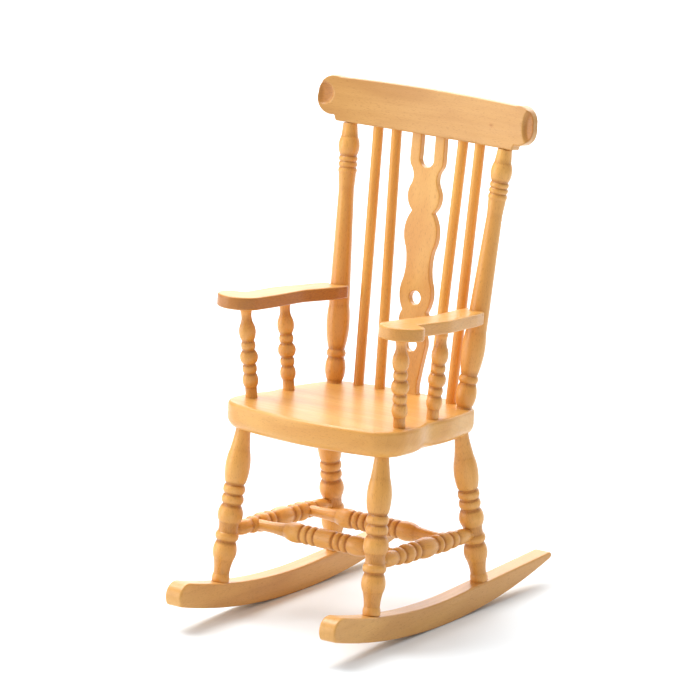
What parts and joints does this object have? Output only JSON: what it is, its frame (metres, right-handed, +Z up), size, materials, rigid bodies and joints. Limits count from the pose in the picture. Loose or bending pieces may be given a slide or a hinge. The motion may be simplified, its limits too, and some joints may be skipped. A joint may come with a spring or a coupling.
{
  "type": "miniature rocking chair",
  "caption": "Dolls' house rocking armchair of pale lacquered hardwood: turned legs, posts and stretchers, pierced splat, scooped crest rail, shaped arms, curved rockers",
  "frame": {"origin": "On the floor, under the middle of the chair's box: mid-width, and midway between the rockers' front and back tips.", "axes": "+X to the right seen from the front, +Y towards the back, +Z up. Left means the -X side."},
  "size_m": [0.052, 0.0741, 0.1014],
  "materials": {
    "sawn_wood": "satin clear lacquer over pale beech, grain along each board",
    "turned_wood": "satin clear lacquer over turned beech, slightly darker where the tool cut end grain",
    "spindle_wood": "satin clear lacquer over plain beech rod"
  },
  "bodies": {
    "root": {"rocker_left": "sawn_wood", "rocker_right": "sawn_wood", "leg_front_left": "turned_wood", "leg_front_right": "turned_wood", "leg_rear_left": "turned_wood", "leg_rear_right": "turned_wood", "side_stretcher_left": "turned_wood", "side_stretcher_right": "turned_wood", "cross_stretcher_front": "turned_wood", "cross_stretcher_rear": "turned_wood", "seat": "sawn_wood", "back_post_left": "turned_wood", "back_post_right": "turned_wood", "back_spindle_1": "spindle_wood", "back_spindle_2": "spindle_wood", "back_spindle_3": "spindle_wood", "back_spindle_4": "spindle_wood", "splat": "sawn_wood", "crest_rail": "sawn_wood", "arm_left": "sawn_wood", "arm_right": "sawn_wood", "arm_support_front_left": "turned_wood", "arm_support_front_right": "turned_wood", "arm_support_rear_left": "turned_wood", "arm_support_rear_right": "turned_wood"}
  },
  "joints": []
}
